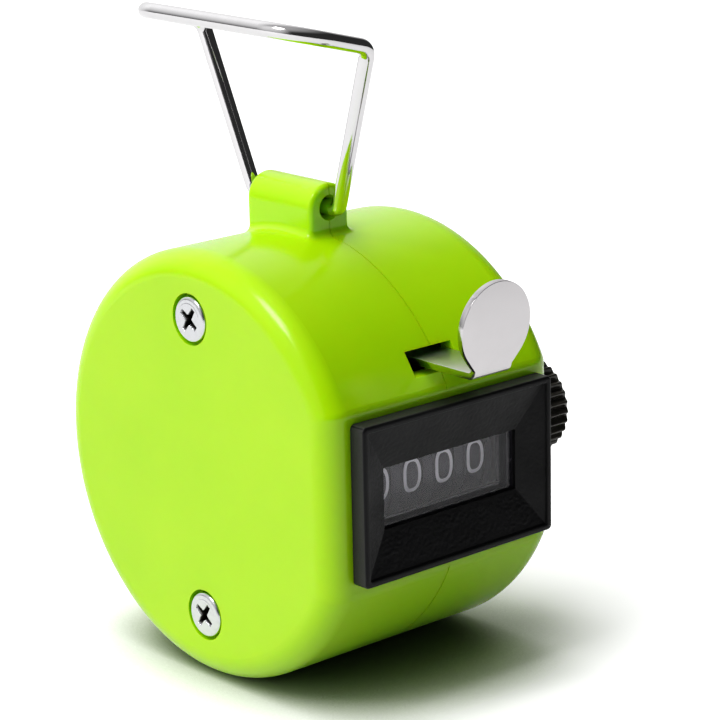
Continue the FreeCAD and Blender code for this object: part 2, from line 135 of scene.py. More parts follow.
def plastic(name, c_lo, c_hi, rough_lo, rough_hi, grain=0.0, grain_scale=2500, coat=0.0, spec=0.5,
            wave=0.0, sss=0.0, painted_light_wall=None):
    """Moulded plastic: slight cloudy colour, uneven gloss, faint moulding waviness."""
    m, nt, out = new_mat(name)
    p = nt.nodes.new("ShaderNodeBsdfPrincipled")
    vec = coords(nt)
    n1 = noise_tex(nt, vec, 90.0, 4.0)
    cr = ramp(nt, n1, [(0.3, (*c_lo, 1)), (0.7, (*c_hi, 1))])
    # painted light: faces flagged by this attribute get the lighter colour pair so they read brighter
    if painted_light_wall:
        at = nt.nodes.new("ShaderNodeAttribute")
        at.attribute_name = "painted_light_wall"
        cw = ramp(nt, n1, [(0.3, (*painted_light_wall[0], 1)), (0.7, (*painted_light_wall[1], 1))])
        mc = nt.nodes.new("ShaderNodeMix")
        mc.data_type = "RGBA"
        nt.links.new(at.outputs["Fac"], mc.inputs[0])
        nt.links.new(cr.outputs["Color"], mc.inputs[6])
        nt.links.new(cw.outputs["Color"], mc.inputs[7])
        nt.links.new(mc.outputs[2], p.inputs["Base Color"])
    else:
        nt.links.new(cr.outputs["Color"], p.inputs["Base Color"])
    n2 = noise_tex(nt, vec, 260.0, 5.0, 0.6)
    rr = ramp(nt, n2, [(0.3, (rough_lo,) * 3 + (1,)), (0.7, (rough_hi,) * 3 + (1,))])
    nt.links.new(rr.outputs["Color"], p.inputs["Roughness"])
    p.inputs["Specular IOR Level"].default_value = spec
    p.inputs["Coat Weight"].default_value = coat
    p.inputs["Coat Roughness"].default_value = 0.06
    nrm = None
    if wave:
        nrm = bump(nt, noise_tex(nt, vec, 160.0, 2.0), wave, 0.0004)
    if grain:
        nrm = bump(nt, noise_tex(nt, vec, grain_scale, 3.0, 0.6), grain, 0.00004, nrm)
    if nrm is not None:
        nt.links.new(nrm, p.inputs["Normal"])
    if sss:
        p.inputs["Subsurface Weight"].default_value = sss
        p.inputs["Subsurface Radius"].default_value = (0.0006, 0.0018, 0.0001)
        p.inputs["Subsurface Scale"].default_value = 1.0
    nt.links.new(p.outputs["BSDF"], out.inputs["Surface"])
    return m


def metal(name, col, rough_lo, rough_hi, brushed=None, bump_s=0.02, scale=400.0, dull=0.0):
    """Metal: fine handling marks in the gloss; brushed gives a stretch for the marks."""
    m, nt, out = new_mat(name)
    p = nt.nodes.new("ShaderNodeBsdfPrincipled")
    p.inputs["Metallic"].default_value = 1.0
    vec = coords(nt, brushed or (1, 1, 1))
    n1 = noise_tex(nt, vec, scale, 5.0, 0.65)
    lo = tuple(c * 0.94 for c in col)
    cr = ramp(nt, n1, [(0.25, (*lo, 1)), (0.75, (*col, 1))])
    nt.links.new(cr.outputs["Color"], p.inputs["Base Color"])
    rr = ramp(nt, n1, [(0.3, (rough_lo,) * 3 + (1,)), (0.7, (rough_hi,) * 3 + (1,))])
    if dull:
        at = nt.nodes.new("ShaderNodeAttribute")
        at.attribute_name = "flat"
        ad = nt.nodes.new("ShaderNodeMath")
        ad.operation = "MULTIPLY_ADD"
        ad.inputs[1].default_value = dull
        nt.links.new(at.outputs["Fac"], ad.inputs[0])
        nt.links.new(rr.outputs["Color"], ad.inputs[2])
        nt.links.new(ad.outputs["Value"], p.inputs["Roughness"])
    else:
        nt.links.new(rr.outputs["Color"], p.inputs["Roughness"])
    if bump_s:
        nt.links.new(bump(nt, n1, bump_s, 0.00005), p.inputs["Normal"])
    nt.links.new(p.outputs["BSDF"], out.inputs["Surface"])
    return m


GREEN = plastic("green_abs", (0.346, 0.648, 0.0015), (0.376, 0.678, 0.0025), 0.16, 0.24, wave=0.035, coat=0.0,
                grain=0.02, grain_scale=3000, sss=0.40, spec=0.5)
# on the bezel, the lighter second colour pair is painted light on its outer wall
BLACK_GRAIN = plastic("black_grained", (0.0052, 0.0052, 0.0058), (0.0085, 0.0085, 0.0095), 0.36, 0.48, grain=0.5,
                      grain_scale=4200, spec=0.30, painted_light_wall=((0.025, 0.025, 0.0245), (0.032, 0.032, 0.031)))
BLACK_KNOB = plastic("black_knob", (0.036, 0.033, 0.029), (0.056, 0.051, 0.045), 0.22, 0.32, grain=0.15,
                     grain_scale=3500, spec=0.5)
WHEEL = plastic("wheel_black", (0.014, 0.0128, 0.018), (0.020, 0.0185, 0.025), 0.42, 0.55, grain=0.2, grain_scale=5000)
NATURAL = plastic("natural_nylon", (0.55, 0.53, 0.46), (0.63, 0.60, 0.53), 0.35, 0.5, grain=0.1, sss=0.1)
INK = plastic("digit_ink", (0.93, 0.93, 0.94), (0.97, 0.97, 0.98), 0.45, 0.6, grain=0.3, grain_scale=9000)
CHROME = metal("chrome_lever", (0.645, 0.625, 0.635), 0.13, 0.20, bump_s=0.02, scale=700, dull=0.16)
CHROME_WIRE = metal("chrome_wire", (0.75, 0.74, 0.75), 0.05, 0.11, bump_s=0.02, scale=900)
ZINC = metal("zinc_screw", (0.74, 0.75, 0.77), 0.16, 0.30, bump_s=0.06, scale=2200)


def screw_material():
    """Bright zinc plate; the recess is dulled, and darkened with its depth as painted shade."""
    m, nt, out = new_mat("zinc_screw")
    p = nt.nodes.new("ShaderNodeBsdfPrincipled")
    p.inputs["Metallic"].default_value = 1.0
    at = nt.nodes.new("ShaderNodeAttribute")
    at.attribute_name = "depth"
    vec = coords(nt)
    n1 = noise_tex(nt, vec, 2400.0, 4.0, 0.6)
    add = nt.nodes.new("ShaderNodeMath")
    add.operation = "MULTIPLY_ADD"
    add.inputs[1].default_value = 0.22
    nt.links.new(n1, add.inputs[0])
    nt.links.new(at.outputs["Fac"], add.inputs[2])
    # painted shade: the base colour falls to near black deep in the cross recess
    cr = ramp(nt, add.outputs["Value"], [(0.10, (0.66, 0.67, 0.69, 1)), (0.24, (0.52, 0.52, 0.54, 1)),
                                         (0.42, (0.16, 0.15, 0.15, 1)), (0.80, (0.035, 0.033, 0.032, 1))])
    nt.links.new(cr.outputs["Color"], p.inputs["Base Color"])
    rr = ramp(nt, add.outputs["Value"], [(0.05, (0.20,) * 3 + (1,)), (0.30, (0.30,) * 3 + (1,)), (0.80, (0.45,) * 3 + (1,))])
    nt.links.new(rr.outputs["Color"], p.inputs["Roughness"])
    nt.links.new(bump(nt, n1, 0.08, 0.00005), p.inputs["Normal"])
    nt.links.new(p.outputs["BSDF"], out.inputs["Surface"])
    return m


SCREW = screw_material()
STEEL = metal("frame_steel", (0.56, 0.57, 0.58), 0.25, 0.42, brushed=(1, 1, 14), bump_s=0.05, scale=900)
SHAFT = metal("shaft_steel", (0.66, 0.67, 0.68), 0.14, 0.26, brushed=(1, 12, 12), bump_s=0.03, scale=900)
SPRING = metal("spring_steel", (0.50, 0.51, 0.54), 0.18, 0.30, bump_s=0.04, scale=1500)


def lens_material():
    m, nt, out = new_mat("clear_lens")
    tr = node(nt, "ShaderNodeBsdfTransparent", Color=(0.975, 0.970, 0.990, 1))
    gl = nt.nodes.new("ShaderNodeBsdfGlossy")
    gl.inputs["Color"].default_value = (1, 1, 1, 1)
    vec = coords(nt)
    n = noise_tex(nt, vec, 500.0, 3.0)
    rr = ramp(nt, n, [(0.3, (0.05,) * 3 + (1,)), (0.7, (0.10,) * 3 + (1,))])
    nt.links.new(rr.outputs["Color"], gl.inputs["Roughness"])
    nt.links.new(bump(nt, n, 0.03, 0.00005), gl.inputs["Normal"])
    lw = nt.nodes.new("ShaderNodeLayerWeight")
    lw.inputs["Blend"].default_value = 0.5
    fr = ramp(nt, lw.outputs["Facing"], [(0.0, (0.034,) * 3 + (1,)), (0.45, (0.044,) * 3 + (1,)),
                                         (0.8, (0.25,) * 3 + (1,)), (1.0, (1.0,) * 3 + (1,))])
    mx = nt.nodes.new("ShaderNodeMixShader")
    nt.links.new(fr.outputs["Color"], mx.inputs["Fac"])
    nt.links.new(tr.outputs["BSDF"], mx.inputs[1])
    nt.links.new(gl.outputs["BSDF"], mx.inputs[2])
    nt.links.new(mx.outputs["Shader"], out.inputs["Surface"])
    return m


LENS = lens_material()

MATS = {
    "case_left": GREEN, "case_right": GREEN, "bezel": BLACK_GRAIN, "window_lens": LENS,
    "case_screws": ZINC, "frame_plate_left": STEEL, "frame_plate_right": STEEL, "screw_sleeves": STEEL,
    "frame_posts": STEEL, "pinion_shaft": SHAFT, "lever_pivot_pin": SHAFT, "detent_spring": SPRING,
    "return_spring": SPRING, "spring_anchor_pin": SHAFT, "thousands_wheel": WHEEL, "hundreds_wheel": WHEEL,
    "tens_wheel": WHEEL, "units_wheel": WHEEL, "units_ratchet": NATURAL, "carry_pinion_units_tens": NATURAL,
    "carry_pinion_tens_hundreds": NATURAL, "carry_pinion_hundreds_thousands": NATURAL, "thumb_lever": CHROME,
    "lever_yoke": STEEL, "pawl_rivet": SHAFT, "drive_pawl": STEEL, "reset_shaft": SHAFT,
    "reset_knob": BLACK_KNOB, "shaft_clip": SPRING, "finger_ring": CHROME_WIRE,
}
for n, m in MATS.items():
    o = nodes[n]
    o.data.materials.clear()
    o.data.materials.append(m)


# ---------------------------------------------------------------------------
# mesh helpers
# ---------------------------------------------------------------------------
def make_obj(name, verts_mm, faces, mat, smooth=True, sharp_deg=None):
    me = bpy.data.meshes.new(name)
    me.from_pydata([tuple(M(*v)) for v in verts_mm], [], [tuple(f) for f in faces])
    me.validate()
    me.update()
    o = bpy.data.objects.new(name, me)
    bpy.context.scene.collection.objects.link(o)
    me.materials.append(mat)
    if smooth:
        for p in me.polygons:
            p.use_smooth = True
    if sharp_deg is not None:
        me.set_sharp_from_angle(angle=math.radians(sharp_deg))
    return o


def fix_normals(o):
    bm = bmesh.new()
    bm.from_mesh(o.data)
    bmesh.ops.recalc_face_normals(bm, faces=bm.faces)
    bm.to_mesh(o.data)
    bm.free()


# ---------------------------------------------------------------------------
# bezel: lofted from rounded rectangles, with a grained funnel
# ---------------------------------------------------------------------------
BX, BZ0, BZ1 = 12.9, -8.05, 8.45
WX, WZ0, WZ1 = 9.05, -3.1, 3.25
Y_FRONT, Y_BACK = -22.3, -20.4


def rrect(hx, z0, z1, r, nside, ncorner):
    pts = []
    corners = [(hx - r, z0 + r, -90), (hx - r, z1 - r, 0), (-hx + r, z1 - r, 90), (-hx + r, z0 + r, 180)]
    arcs = []
    for cx, cz, a0 in corners:
        arcs.append([(cx + r * math.cos(math.radians(a0 + 90 * k / ncorner)),
                      cz + r * math.sin(math.radians(a0 + 90 * k / ncorner))) for k in range(ncorner + 1)])
    for i in range(4):
        pts += arcs[i]
        a, b = arcs[i][-1], arcs[(i + 1) % 4][0]
        n = nside[i]
        for k in range(1, n):
            t = k / n
            pts.append((a[0] + (b[0] - a[0]) * t, a[1] + (b[1] - a[1]) * t))
    return pts


def build_bezel():
    ns = (100, 160, 100, 160)
    nc = 5

    def loop(off, r):
        return rrect(BX - off, BZ0 + off, BZ1 - off, max(r, 0.02), ns, nc)

    rim = 0.70
    prof = [(0.0, Y_BACK, 0.5), (0.0, Y_FRONT + 0.28, 0.5), (0.03, Y_FRONT + 0.14, 0.48), (0.10, Y_FRONT + 0.05, 0.44),
            (0.22, Y_FRONT, 0.36), (rim - 0.14, Y_FRONT, 0.22), (rim - 0.05, Y_FRONT + 0.04, 0.18),
            (rim, Y_FRONT + 0.14, 0.14), (rim + 0.02, Y_FRONT + 0.30, 0.12), (rim + 0.06, Y_FRONT + 0.36, 0.10)]
    verts, n_loops = [], 0
    for off, y, r in prof:
        for (x, z) in loop(off, r):
            verts.append((x, y, z))
        n_loops += 1
    # funnel
    A = loop(rim + 0.06, 0.10)
    B = rrect(WX, WZ0, WZ1, 0.08, ns, nc)
    y0, y1 = Y_FRONT + 0.36, Y_BACK - 0.40
    steps = 44
    for s in range(1, steps + 1):
        t = s / steps
        edge = min(1.0, min(t, 1 - t) * 9)
        for (a, b) in zip(A, B):
            x, z = a[0] + (b[0] - a[0]) * t, a[1] + (b[1] - a[1]) * t
            y = y0 + (y1 - y0) * t
            q = Vector((x * 2.1, y * 2.1, z * 2.1))
            d = noise.fractal(q * 1.35, 0.8, 2.2, 3) * 0.6 + abs(noise.noise(q * 0.9)) * 0.5
            verts.append((x, y - 0.034 * edge * d, z))
        n_loops += 1
    for off, y in ((0.0, Y_BACK - 0.34), (0.0, Y_BACK)):
        for (x, z) in rrect(WX, WZ0, WZ1, 0.08, ns, nc):
            verts.append((x, y, z))
        n_loops += 1
    P = len(A)
    faces = []
    for l in range(n_loops):
        l2 = (l + 1) % n_loops
        for k in range(P):
            k2 = (k + 1) % P
            faces.append((l * P + k, l * P + k2, l2 * P + k2, l2 * P + k))
    o = make_obj("bezel_moulding", verts, faces, BLACK_GRAIN, True, 38)
    fix_normals(o)
    # the outer wall, apart from the grained face and funnel: painted light, a lighter grey so it reads brighter
    at = o.data.attributes.new("painted_light_wall", "FLOAT", "FACE")
    for f, d in zip(o.data.polygons, at.data):
        d.value = 1.0 if abs(f.normal.y) < 0.3 and f.center.y > M(0, Y_FRONT + 0.05, 0).y and max(
            abs(f.center.x - M(0, 0, 0).x) * 1000 - BX, abs(f.center.z - M(0, 0, (BZ0 + BZ1) / 2).z) * 1000 - (BZ1 - BZ0) / 2
        ) > -0.12 else 0.0
    return o


bezel = build_bezel()
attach(bezel, "case")
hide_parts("bezel")


# ---------------------------------------------------------------------------
# digits, as thin raised ink strokes wrapped on the wheels
# ---------------------------------------------------------------------------
def arc(cx, cy, rx, ry, a0, a1, n=16):
    return [(cx + rx * math.cos(math.radians(a0 + (a1 - a0) * k / n)),
             cy + ry * math.sin(math.radians(a0 + (a1 - a0) * k / n))) for k in range(n + 1)]


def superloop(a, b, e, n=64, cy=0.0):
    out = []
    for k in range(n):
        t = 2 * math.pi * k / n
        c, s = math.cos(t), math.sin(t)
        out.append((a * math.copysign(abs(c) ** (2 / e), c), cy + b * math.copysign(abs(s) ** (2 / e), s)))
    return out


W2, H2 = 1.0, 1.6
GLYPH = {
    0: [("closed", superloop(W2, H2, 2.7))],
    1: [("open", [(-0.45, 1.15), (0.1, 1.6), (0.1, -1.6)])],
    2: [("open", arc(0, 0.68, W2, 0.92, 165, -25, 18) + [(-0.95, -1.6), (1.0, -1.6)])],
    3: [("open", arc(-0.05, 0.80, 0.92, 0.80, 150, -90, 18) + arc(-0.05, -0.80, 1.0, 0.80, 90, -150, 18)[1:])],
    4: [("open", [(0.45, -1.6), (0.45, 1.6), (-1.0, -0.65), (1.05, -0.65)])],
    5: [("open", [(0.85, 1.6), (-0.75, 1.6), (-0.85, 0.15)] + arc(-0.05, -0.62, 1.0, 0.98, 128, -150, 20))],
    6: [("closed", superloop(W2 * 0.96, 0.95, 2.3, 48, -0.65)),
        ("open", [(-0.96, -0.65), (-0.93, 0.2)] + arc(0.0, 0.55, 0.93, 1.05, 165, 40, 14))],
    7: [("open", [(-1.0, 1.6), (1.0, 1.6), (0.05, 0.0), (-0.3, -1.6)])],
    8: [("closed", superloop(0.82, 0.76, 2.3, 44, 0.84)), ("closed", superloop(0.98, 0.84, 2.3, 48, -0.76))],
    9: [("closed", superloop(W2 * 0.96, 0.95, 2.3, 48, 0.65)),
        ("open", [(0.96, 0.65), (0.93, -0.2)] + arc(0.0, -0.55, 0.93, 1.05, -15, -140, 14))],
}


def resample(pts, step, closed):
    pts = [np.array(p, float) for p in pts]
    if closed:
        pts = pts + [pts[0]]
    out = [pts[0]]
    for a, b in zip(pts[:-1], pts[1:]):
        L = np.linalg.norm(b - a)
        n = max(1, int(math.ceil(L / step)))
        for k in range(1, n + 1):
            out.append(a + (b - a) * k / n)
    if closed:
        out = out[:-1]
    return out


def stroke(pts, w, closed):
    """Left and right edges of a stroke, with mitred joints."""
    pts = resample(pts, 0.16, closed)
    n = len(pts)
    L, R = [], []
    for i in range(n):
        if closed:
            a, b, c = pts[i - 1], pts[i], pts[(i + 1) % n]
        else:
            a, b, c = pts[max(i - 1, 0)], pts[i], pts[min(i + 1, n - 1)]
        d1, d2 = b - a, c - b
        if np.linalg.norm(d1) < 1e-9:
            d1 = d2
        if np.linalg.norm(d2) < 1e-9:
            d2 = d1
        d1, d2 = d1 / np.linalg.norm(d1), d2 / np.linalg.norm(d2)
        n1, n2 = np.array((-d1[1], d1[0])), np.array((-d2[1], d2[0]))
        nn = n1 + n2
        if np.linalg.norm(nn) < 1e-6:
            nn = n1
        nn = nn / np.linalg.norm(nn)
        k = 1.0 / max(0.55, float(nn @ n1))
        L.append(b + nn * w / 2 * k)
        R.append(b - nn * w / 2 * k)
    return L, R


def digits_on(name, xc, radius, width=0.40):
    verts, faces = [], []
    lo, hi = radius - 0.03, radius + 0.028

    def wrap(p, rad, base):
        phi = base + p[1] / radius
        return (xc + p[0], SHY - rad * math.cos(phi), SHZ + rad * math.sin(phi))

    for dgt, strokes in GLYPH.items():
        base = math.radians(36.0 * dgt)
        for kind, pts in strokes:
            closed = kind == "closed"
            L, R = stroke(pts, width, closed)
            n = len(L)
            b0 = len(verts)
            for i in range(n):
                # four corners with a slightly crowned top
                l, r = L[i], R[i]
                li, ri = l + (r - l) * 0.12, r + (l - r) * 0.12
                verts += [wrap(l, lo, base), wrap(l, hi - 0.012, base), wrap(li, hi, base),
                          wrap(ri, hi, base), wrap(r, hi - 0.012, base), wrap(r, lo, base)]
            rng = range(n) if closed else range(n - 1)
            for i in rng:
                j = (i + 1) % n
                for q in range(6):
                    q2 = (q + 1) % 6
                    faces.append((b0 + i * 6 + q, b0 + i * 6 + q2, b0 + j * 6 + q2, b0 + j * 6 + q))
            if not closed:
                faces.append(tuple(b0 + q for q in range(6)))
                faces.append(tuple(b0 + (n - 1) * 6 + q for q in reversed(range(6))))
    o = make_obj(name, verts, faces, INK, True, 30)
    fix_normals(o)
    return o


for nm in ("thousands", "hundreds", "tens", "units"):
    k = ("thousands", "hundreds", "tens", "units").index(nm)
    xc = (-1.5 + k) * 4.38
    d = digits_on(nm + "_digits", xc, 9.3)
    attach(d, nm + "_wheel_body")


# ---------------------------------------------------------------------------
# mask behind the window: a liner through the case wall, a lip under the digits
# and curved fingers between the wheels
# ---------------------------------------------------------------------------
def prism(verts, faces, ring_a, ring_b):
    """Closed prism between two equal rings of points."""
    b0 = len(verts)
    n = len(ring_a)
    verts += ring_a + ring_b
    faces.append(tuple(b0 + k for k in range(n)))
    faces.append(tuple(b0 + n + k for k in reversed(range(n))))
    for k in range(n):
        k2 = (k + 1) % n
        faces.append((b0 + k, b0 + n + k, b0 + n + k2, b0 + k2))


def build_mask():
    verts, faces = [], []
    # liner: rectangular tube, with its lips rounded by an extra loop
    loops = []
    for hx, z0, z1, y in ((9.17, -3.17, 3.37, -19.56), (9.17, -3.17, 3.37, -17.95), (9.10, -3.10, 3.30, -17.90),
                          (9.03, -3.03, 3.23, -17.95), (9.03, -3.03, 3.23, -19.50), (9.08, -3.08, 3.28, -19.58)):
        loops.append([(x, y, z) for (x, z) in rrect(hx, z0, z1, 0.12, (20, 30, 20, 30), 3)])
    b0, P = 0, len(loops[0])
    for lp_ in loops:
        verts += lp_
    for l in range(len(loops)):
        l2 = (l + 1) % len(loops)
        for k in range(P):
            k2 = (k + 1) % P
            faces.append((l * P + k, l * P + k2, l2 * P + k2, l2 * P + k))
    # lip under the digits
    lip = [(-18.6, -3.10), (-18.6, -2.86), (-18.5, -2.80), (-18.15, -2.86), (-18.0, -3.10)]
    prism(verts, faces, [(-9.05, y, z) for y, z in lip], [(9.05, y, z) for y, z in lip])

    # fingers and cheeks, following the wheels
    def finger(x0, x1, r0, r1, a0, a1, n=22):
        for k in range(n):
            t0, t1 = math.radians(a0 + (a1 - a0) * k / n), math.radians(a0 + (a1 - a0) * (k + 1) / n)
            qa = [(SHY - r0 * math.cos(t0), SHZ + r0 * math.sin(t0)), (SHY - r1 * math.cos(t0), SHZ + r1 * math.sin(t0))]
            qb = [(SHY - r1 * math.cos(t1), SHZ + r1 * math.sin(t1)), (SHY - r0 * math.cos(t1), SHZ + r0 * math.sin(t1))]
            q = qa + qb
            prism(verts, faces, [(x0, y, z) for y, z in q], [(x1, y, z) for y, z in q])

    for k in range(3):
        c = (-1.0 + k) * 4.38
        finger(c - 0.66, c + 0.66, 8.40, 9.26, -34, 34)
    finger(-9.0, -8.11, 8.40, 9.26, -34, 34)
    finger(8.11, 9.0, 8.40, 9.26, -34, 34)
    # two bars that carry the fingers, above and below the view
    for sgn in (-1, 1):
        t = math.radians(33.0 * sgn)
        cy_, cz_ = SHY - 9.74 * math.cos(t), SHZ + 9.74 * math.sin(t)
        ring = [(cy_ + 0.30 * math.cos(a), cz_ + 0.30 * math.sin(a)) for a in [2 * math.pi * k / 12 for k in range(12)]]
        prism(verts, faces, [(-9.0, y, z) for y, z in ring], [(9.0, y, z) for y, z in ring])
        for k in range(5):
            c = (-2.0 + k) * 4.38
            c = max(-8.55, min(8.55, c))
            arm = [(SHY - r * math.cos(t + d), SHZ + r * math.sin(t + d)) for r, d in ((9.0, -0.03), (9.6, -0.03), (9.6, 0.03), (9.0, 0.03))]
            prism(verts, faces, [(c - 0.4, y, z) for y, z in arm], [(c + 0.4, y, z) for y, z in arm])
    o = make_obj("window_mask", verts, faces, WHEEL, True, 35)
    fix_normals(o)
    return o


mask = build_mask()
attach(mask, "case")


# ---------------------------------------------------------------------------
# the window: a clear pane with eased edges, held in a thin black gasket
# ---------------------------------------------------------------------------
def build_pane():
    loops = []
    for off, y in ((0.06, -19.63), (0.0, -19.69), (0.0, -20.30), (0.07, -20.37)):
        loops.append([(x, y, z) for (x, z) in rrect(9.02 - off, -3.07 + off, 3.22 - off, 0.12, (12, 24, 12, 24), 3)])
    verts, faces = [], []
    for lp_ in loops:
        verts += lp_
    P = len(loops[0])
    for l in range(3):
        for k in range(P):
            k2 = (k + 1) % P
            faces.append((l * P + k, l * P + k2, (l + 1) * P + k2, (l + 1) * P + k))
    faces.append(tuple(range(P)))
    faces.append(tuple(3 * P + k for k in range(P)))
    o = make_obj("lens_pane", verts, faces, LENS, True, 30)
    fix_normals(o)
    return o


def build_gasket():
    loops = []
    for hx, z0, z1, y, r in ((9.86, -3.86, 4.06, -20.38, 0.2), (9.88, -3.88, 4.08, -19.62, 0.2), (9.06, -3.11, 3.26, -19.60, 0.12),
                             (9.035, -3.085, 3.235, -19.66, 0.12), (9.035, -3.085, 3.235, -20.34, 0.12),
                             (9.06, -3.11, 3.26, -20.38, 0.12)):
        loops.append([(x, y, z) for (x, z) in rrect(hx, z0, z1, r, (12, 24, 12, 24), 3)])
    verts, faces = [], []
    for lp_ in loops:
        verts += lp_
    P = len(loops[0])
    for l in range(len(loops)):
        l2 = (l + 1) % len(loops)
        for k in range(P):
            k2 = (k + 1) % P
            faces.append((l * P + k, l * P + k2, l2 * P + k2, l2 * P + k))
    o = make_obj("lens_gasket", verts, faces, WHEEL, True, 30)
    fix_normals(o)
    return o


pane = build_pane()
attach(pane, "case")
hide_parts("window_lens")
gasket = build_gasket()
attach(gasket, "case")


# ---------------------------------------------------------------------------
# case screws: domed heads with a tapered cross recess, threaded shanks
# ---------------------------------------------------------------------------
SCREW_POS = [(0.35, 15.7), (-0.35, -15.7)]
HEAD_R, FACE_X = 2.4, -15.95


def build_screws():
    verts, faces = [], []
    for (sy, sz) in SCREW_POS:
        ca, sa = math.cos(math.radians(35.0)), math.sin(math.radians(35.0))

        def surf(u, v):
            """Depth of the head's outer face below its top plane, at (u, v) in the recess frame."""
            r = math.hypot(u, v)
            edge = 0.0
            if r > HEAD_R - 0.42:
                t = min(1.0, (r - (HEAD_R - 0.42)) / 0.42)
                edge = 0.42 * (1 - math.sqrt(max(0.0, 1 - t * t)))
            dome = 0.05 * (r / HEAD_R) ** 2
            d = 0.0
            for p, q in ((u, v), (v, u)):
                wing = min((0.40 - 0.10 * abs(p) - abs(q)) * 3.2, (1.42 - abs(p)) * 1.9, 1.05)
                d = max(d, wing)
            core = min((0.78 - (abs(u) + abs(v))) * 2.4, 1.15)
            d = max(d, core)
            burr = -0.035 * math.exp(-((max(d, -0.12)) / 0.05) ** 2) if d > -0.12 else 0.0
            return edge + dome + max(d, 0.0) + burr * (1 if r < 1.7 else 0)

        nr, na = 64, 144
        b0 = len(verts)
        verts.append((FACE_X + max(surf(0, 0), 0.0), sy, sz))
        for i in range(1, nr + 1):
            r = HEAD_R * (i / nr) ** 0.92
            for j in range(na):
                t = 2 * math.pi * j / na
                u, v = r * math.cos(t), r * math.sin(t)
                y, z = sy + u * ca - v * sa, sz + u * sa + v * ca
                verts.append((FACE_X + max(surf(u, v), 0.0), y, z))
        for j in range(na):
            faces.append((b0, b0 + 1 + j, b0 + 1 + (j + 1) % na))
        for i in range(nr - 1):
            for j in range(na):
                j2 = (j + 1) % na
                p = b0 + 1 + i * na
                faces.append((p + j, p + na + j, p + na + j2, p + j2))
        last = b0 + 1 + (nr - 1) * na
        # under the head, then the shank with a rolled thread
        prof = [(-14.80, HEAD_R), (-14.80, 1.28), (-13.6, 1.22)]
        x = -13.5
        while x < 13.2:
            prof += [(x, 1.02), (x + 0.18, 1.24), (x + 0.30, 1.24), (x + 0.48, 1.02)]
            x += 0.60
        prof += [(13.5, 1.0), (14.0, 0.55), (14.0, 0.01)]
        prev = last
        for (x, r) in prof:
            cur = len(verts)
            for j in range(na):
                t = 2 * math.pi * j / na
                u, v = r * math.cos(t), r * math.sin(t)
                verts.append((x, sy + u * ca - v * sa, sz + u * sa + v * ca))
            for j in range(na):
                j2 = (j + 1) % na
                faces.append((prev + j, cur + j, cur + j2, prev + j2))
            prev = cur
        faces.append(tuple(prev + j for j in range(na)))
    o = make_obj("case_screw_set", verts, faces, SCREW, True, 50)
    fix_normals(o)
    # depth into the cross recess, which the screw material turns into painted shade
    at = o.data.attributes.new("depth", "FLOAT", "POINT")
    x0 = M(FACE_X, 0, 0).x
    for v, d in zip(o.data.vertices, at.data):
        dx = (v.co.x - x0) * 1000.0
        rad = min(math.hypot((v.co.y - M(0, sy, sz).y) * 1000, (v.co.z - M(0, sy, sz).z) * 1000) for sy, sz in SCREW_POS)
        d.value = max(0.0, min(1.0, (dx - 0.06) / 0.55)) if rad < 1.9 and dx < 1.4 else 0.0
    return o


screws = build_screws()
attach(screws, "case")
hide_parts("case_screws")


# ---------------------------------------------------------------------------
# reset knob: rounded grip ribs, chamfered rim, dished end
# ---------------------------------------------------------------------------
def build_knob():
    KR, KX0, KX1, N = 5.25, 16.3, 24.8, 30
    per = 12
    na = N * per

    def rib(t):
        """0 in a valley, 1 on a crest."""
        f = (t * N / (2 * math.pi)) % 1.0
        d = abs(f - 0.5) * 2          # 0 mid valley-to-crest marker, 1 at the crest
        d = 1.0 - abs(((f + 0.5) % 1.0) - 0.5) * 2
        return max(0.0, min(1.0, (math.sin((d - 0.5) * math.pi) * 0.5 + 0.5) ** 0.85))

    def ring(x, r_crest, depth):
        return [(x, SHY + (r_crest - depth * (1 - rib(2 * math.pi * j / na))) * math.cos(2 * math.pi * j / na),
                 SHZ + (r_crest - depth * (1 - rib(2 * math.pi * j / na))) * math.sin(2 * math.pi * j / na)) for j in range(na)]

    rings = []
    rings.append(ring(KX0, 1.2, 0.0))
    rings.append(ring(KX0, 4.14, 0.0))
    rings.append(ring(KX0 + 0.06, 4.2, 0.0))
    rings.append(ring(KX0 + 0.70, 4.2, 0.0))
    rings.append(ring(KX0 + 0.70, KR - 0.14, 0.50))
    rings.append(ring(KX0 + 0.78, KR - 0.04, 0.54))
    rings.append(ring(KX0 + 0.92, KR, 0.56))
    for k in range(1, 6):
        rings.append(ring(KX0 + 0.92 + (KX1 - 0.62 - KX0 - 0.92) * k / 5, KR, 0.56))
    for k in range(1, 7):
        a = math.pi / 2 * k / 6
        rings.append(ring(KX1 - 0.62 + 0.55 * math.sin(a), KR - 0.50 * (1 - math.cos(a)), 0.56 * (1 - k / 6) + 0.02))
    rings.append(ring(KX1, 4.55, 0.0))
    rings.append(ring(KX1, 3.72, 0.0))
    rings.append(ring(KX1 - 0.06, 3.62, 0.0))
    rings.append(ring(KX1 - 0.40, 3.56, 0.0))
    rings.append(ring(KX1 - 0.50, 3.44, 0.0))
    rings.append(ring(KX1 - 0.50, 1.4, 0.0))
    rings.append(ring(KX1 - 0.44, 0.9, 0.0))
    rings.append(ring(KX1 - 0.42, 0.05, 0.0))
    verts, faces = [], []
    for r in rings:
        verts += r
    for l in range(len(rings) - 1):
        for j in range(na):
            j2 = (j + 1) % na
            faces.append((l * na + j, l * na + j2, (l + 1) * na + j2, (l + 1) * na + j))
    n = len(rings) - 1
    faces.append(tuple(n * na + j for j in range(na)))
    # bore for the shaft, closed inside
    b0 = len(verts)
    verts += ring(22.5, 1.2, 0.0)
    for j in range(na):
        j2 = (j + 1) % na
        faces.append((j, b0 + j, b0 + j2, j2))
    faces.append(tuple(b0 + j for j in range(na)))
    o = make_obj("reset_knob_ribbed", verts, faces, BLACK_KNOB, True, 48)
    fix_normals(o)
    return o


knob = build_knob()
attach(knob, "reset_body")
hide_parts("reset_knob")


